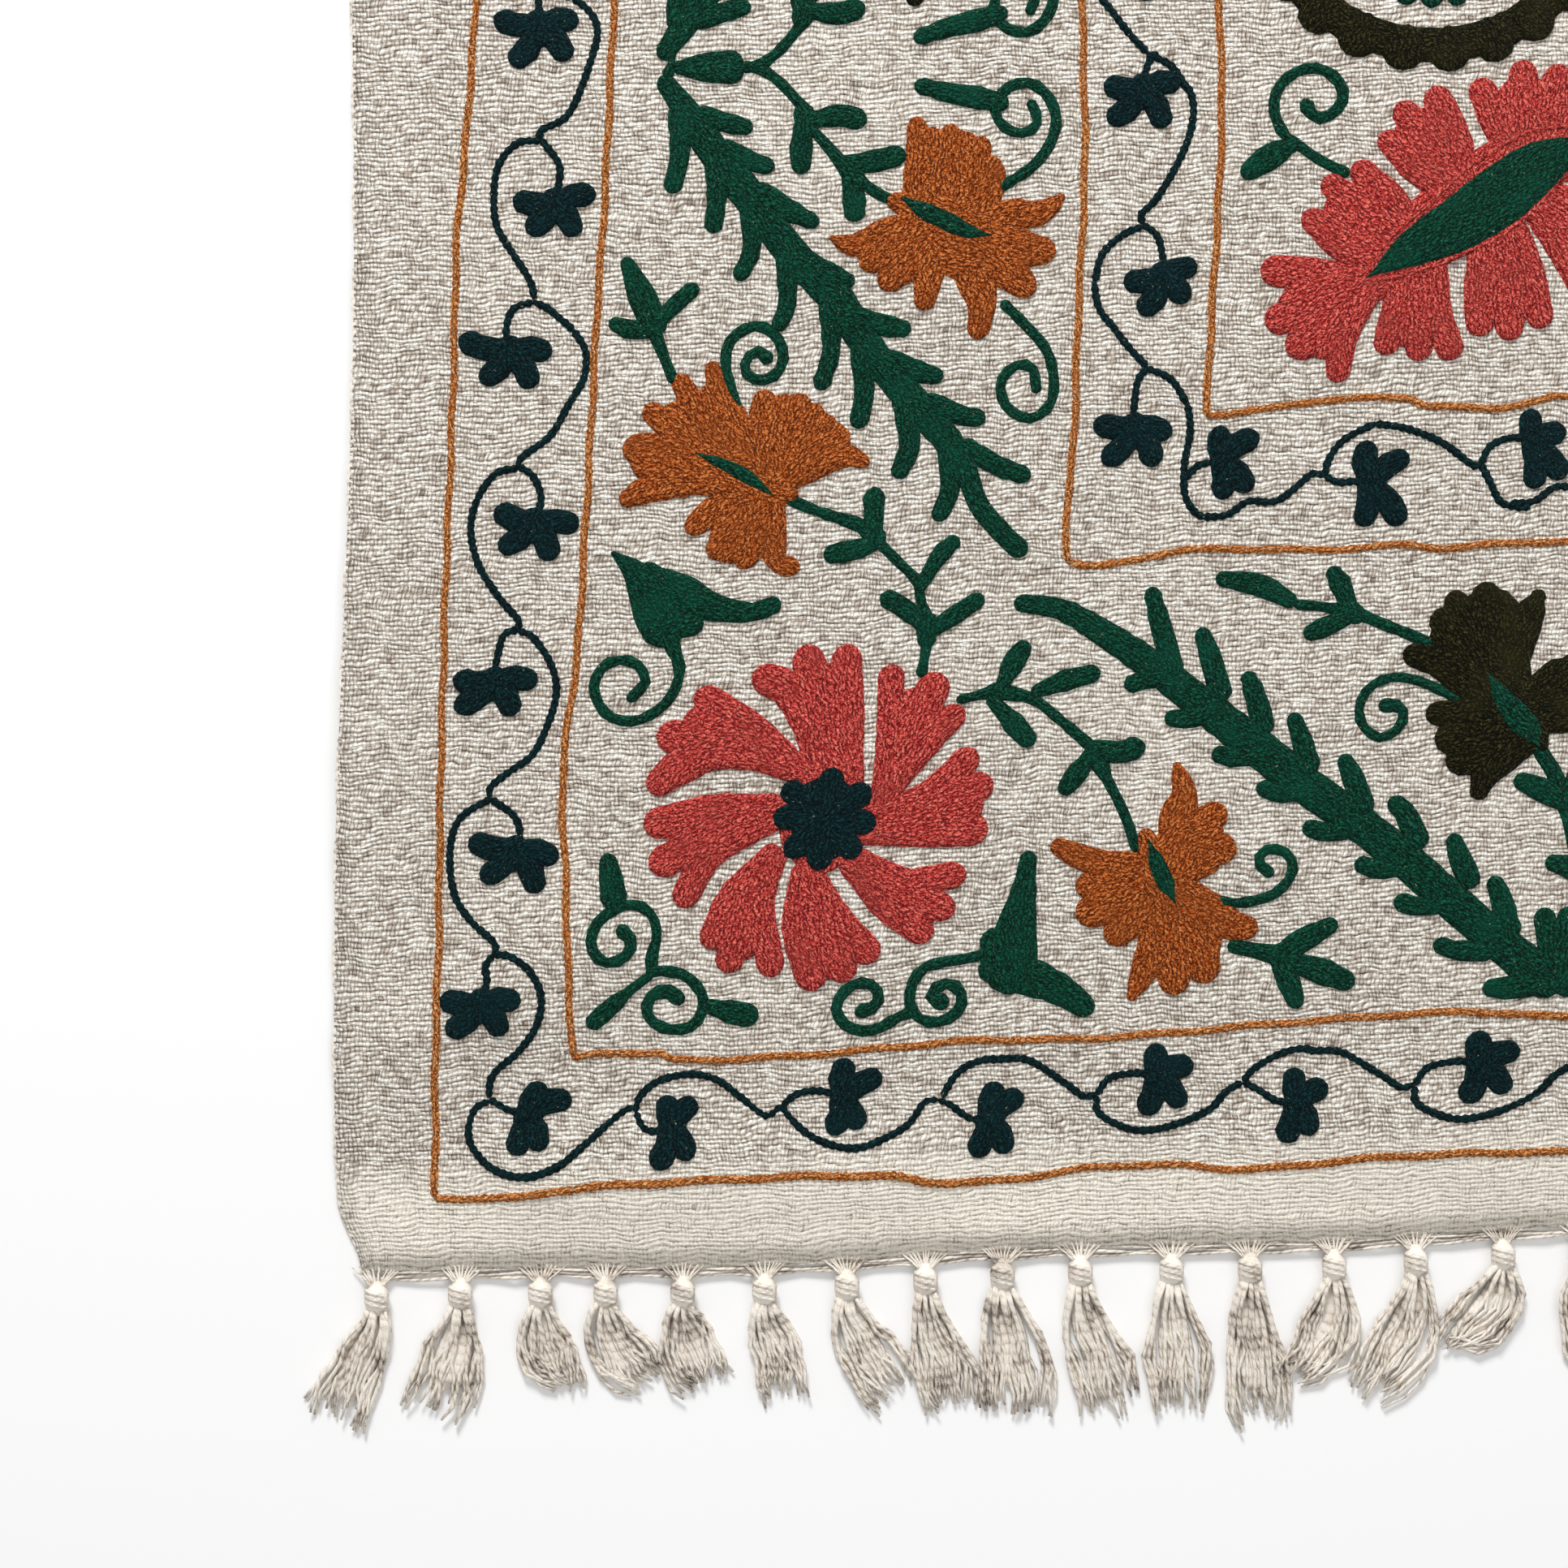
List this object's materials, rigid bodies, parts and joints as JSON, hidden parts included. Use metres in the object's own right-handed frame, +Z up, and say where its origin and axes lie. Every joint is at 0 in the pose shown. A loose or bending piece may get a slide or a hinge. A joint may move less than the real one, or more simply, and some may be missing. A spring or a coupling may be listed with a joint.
{
  "type": "suzani embroidered table cover",
  "caption": "Square cotton cover with embroidered flowers and leaf vines, lying flat, with knotted tassels along its front and back hems.",
  "frame": {"origin": "On the surface that the cover lies on, under the middle of the cloth.", "axes": "+Z is up, through the face with the embroidery. +Y runs from the front hem to the back hem, along the warp. +X runs from the left selvedge to the right one."},
  "size_m": [1.0114, 1.0863, 0.0065],
  "materials": {
    "ground_cotton": "matte",
    "fringe_cotton": "matte"
  },
  "bodies": {
    "root": {"ground_cloth": "ground_cotton", "front_fringe": "fringe_cotton", "back_fringe": "fringe_cotton"}
  },
  "joints": []
}
